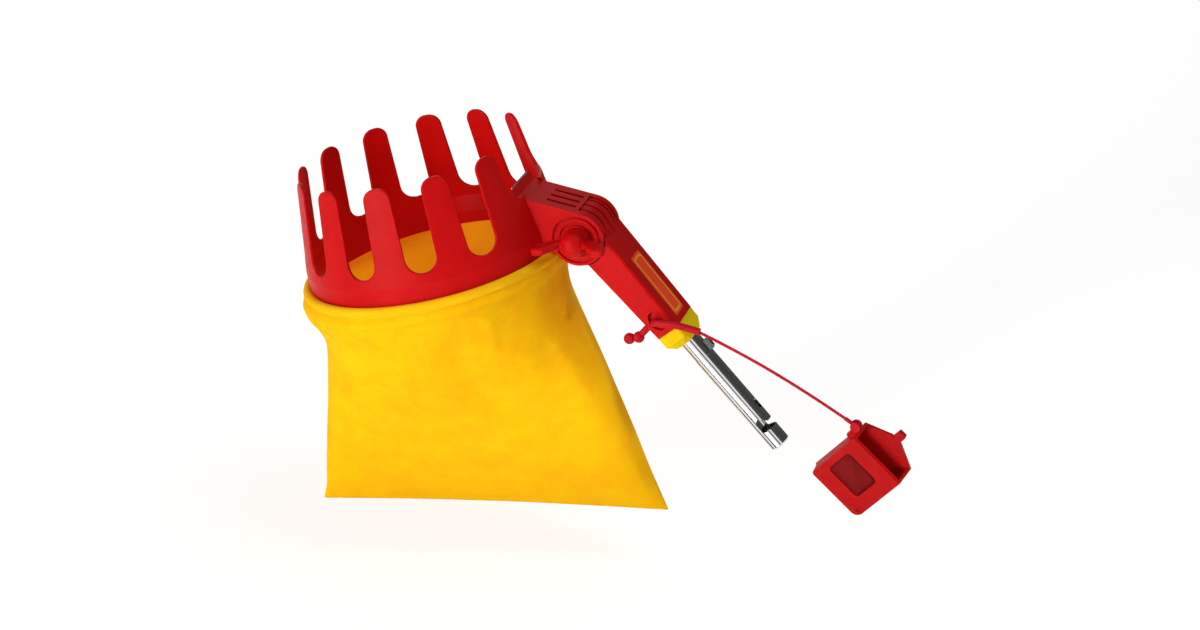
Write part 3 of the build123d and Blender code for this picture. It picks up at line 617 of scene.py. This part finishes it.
def floor_material():
    """Matt white card that reads as white and still takes a shadow."""
    material = bpy.data.materials.new("floor_card")
    material.use_nodes = True
    tree = material.node_tree
    tree.nodes.clear()
    card = add_node(tree, "ShaderNodeBsdfDiffuse", values={"Color": linear("#E4E4E4")})
    grey = {"Color": (FLOOR_GLOW, FLOOR_GLOW, FLOOR_GLOW, 1)}
    glow = add_node(tree, "ShaderNodeEmission", {"Strength": white_to_the_eye(tree)}, grey)
    both = add_node(tree, "ShaderNodeAddShader", {0: card.outputs[0], 1: glow.outputs[0]})
    add_node(tree, "ShaderNodeOutputMaterial", {"Surface": both.outputs[0]})
    return material


low = min(cad_box[0][2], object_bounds()[0][2])
ground = low - FLOOR_DROP
corners = [(x * FLOOR_REACH, y * FLOOR_REACH, ground) for x, y in ((-1, -1), (1, -1), (1, 1), (-1, 1))]
floor = bpy.data.objects.new("floor", mesh_of("floor", corners, [(0, 1, 2, 3)]))
scene.collection.objects.link(floor)
floor.data.materials.append(floor_material())

world = bpy.data.worlds.new("studio")
world.use_nodes = True
scene.world = world
sky_tree = world.node_tree
sky = sky_tree.nodes["Background"]
level = add_node(
    sky_tree,
    "ShaderNodeMapRange",
    {"Value": white_to_the_eye(sky_tree)},
    {"To Min": SKY_LIGHT, "To Max": SKY_SEEN},
)
sky_tree.links.new(level.outputs["Result"], sky.inputs["Strength"])
sky.inputs["Color"].default_value = (1, 1, 1, 1)

MIDDLE = (Vector(cad_box[0]) + Vector(cad_box[1])) / 2


def add_lamp(name, offset, width, power, aim=(0, 0, 0), beam=180):
    """Square soft lamp at this offset from the object's middle, turned to a point there, with its beam in degrees."""
    lamp = bpy.data.lights.new(name, "AREA")
    lamp.size = width
    lamp.energy = power
    lamp.spread = math.radians(beam)
    holder = bpy.data.objects.new(name, lamp)
    holder.location = MIDDLE + Vector(offset)
    holder.rotation_euler = (Vector(offset) - Vector(aim)).to_track_quat("Z", "Y").to_euler()
    scene.collection.objects.link(holder)


add_lamp("key_lamp", (-1.9, -3.8, 0.6), width=1.3, power=114)
add_lamp("table_lamp", (0.02, -0.62, 0.9), width=0.1, power=2.8, aim=(0.02, -0.62, 0.0), beam=45)
add_lamp("side_lamp", (1.2, -0.4, -0.05), width=0.1, power=0.02, aim=(-0.02, 0.0, -0.06), beam=9)
add_lamp("top_lamp", (0.8, -0.3, 2.0), width=1.0, power=9)
add_lamp("back_lamp", (-1.0, 2.2, 0.5), width=1.2, power=8)

# Dull dark card, whose faint glow keeps its reflection a deep grey.
dark_card = new_material(
    "dark_card",
    Base_Color=linear("#0A0A0A"),
    Emission_Color=linear("#3C413A"),
    Emission_Strength=1.0,
    Roughness=0.9,
)[0]


def add_flag(name, corners):
    """Dark card that only shows in reflections, so that plated and glossy faces get their dark side."""
    flag = bpy.data.objects.new(name, mesh_of(name, corners, [(0, 1, 2, 3)]))
    scene.collection.objects.link(flag)
    flag.data.materials.append(dark_card)
    for ray in ("camera", "diffuse", "transmission", "volume_scatter", "shadow"):
        setattr(flag, "visible_" + ray, False)


# Large cards above, behind and beside the object, two strips at the level of the bag's bottom, one strip in front, and
# a low card behind.
STRIP = low + 0.5 * MM
add_flag("flag_above", [(-4, -0.8, 2.4), (3, -0.8, 2.4), (3, 3.4, 2.4), (-4, 3.4, 2.4)])
add_flag("flag_behind", [(-4, 3.4, 0.5), (3, 3.4, 0.5), (3, 3.4, 2.4), (-4, 3.4, 2.4)])
add_flag("flag_beside", [(3, -3.4, 0.6), (3, 3.4, 0.6), (3, 3.4, 4.0), (3, -3.4, 4.0)])
add_flag("strip_near", [(-0.17, -0.2, STRIP), (-0.13, -0.25, STRIP), (0.05, -0.14, STRIP), (0.01, -0.09, STRIP)])
add_flag(
    "strip_far",
    [(-0.15, -0.036, STRIP), (0.02, -0.036, STRIP), (0.02, 0.012, STRIP), (-0.15, 0.012, STRIP)],
)
add_flag(
    "strip_front",
    [(0.117, -1.469, 0.307), (0.627, -1.469, -0.203), (0.843, -1.371, 0.013), (0.333, -1.371, 0.523)],
)
add_flag("flag_low", [(-0.3, 0.5, low), (1.2, 0.5, low), (1.2, 0.5, 0.6), (-0.3, 0.5, 0.6)])

CAMERA_PLACE = Vector((396.0, -1625.1, 822.2)) * MM
CAMERA_TURN, CAMERA_TILT, CAMERA_ROLL = 16.37, 25.36, 1.96
LENS, SENSOR = 75.66, 36.0
eye = bpy.data.cameras.new("camera")
eye.lens = LENS
eye.sensor_width = SENSOR
camera = bpy.data.objects.new("camera", eye)
camera.rotation_mode = "QUATERNION"
look = turned(CAMERA_TURN, "Z") @ turned(90 - CAMERA_TILT, "X") @ turned(CAMERA_ROLL, "Z")
camera.rotation_quaternion = look.to_quaternion()
camera.location = CAMERA_PLACE
scene.collection.objects.link(camera)
scene.camera = camera
scene.view_settings.view_transform = "Standard"
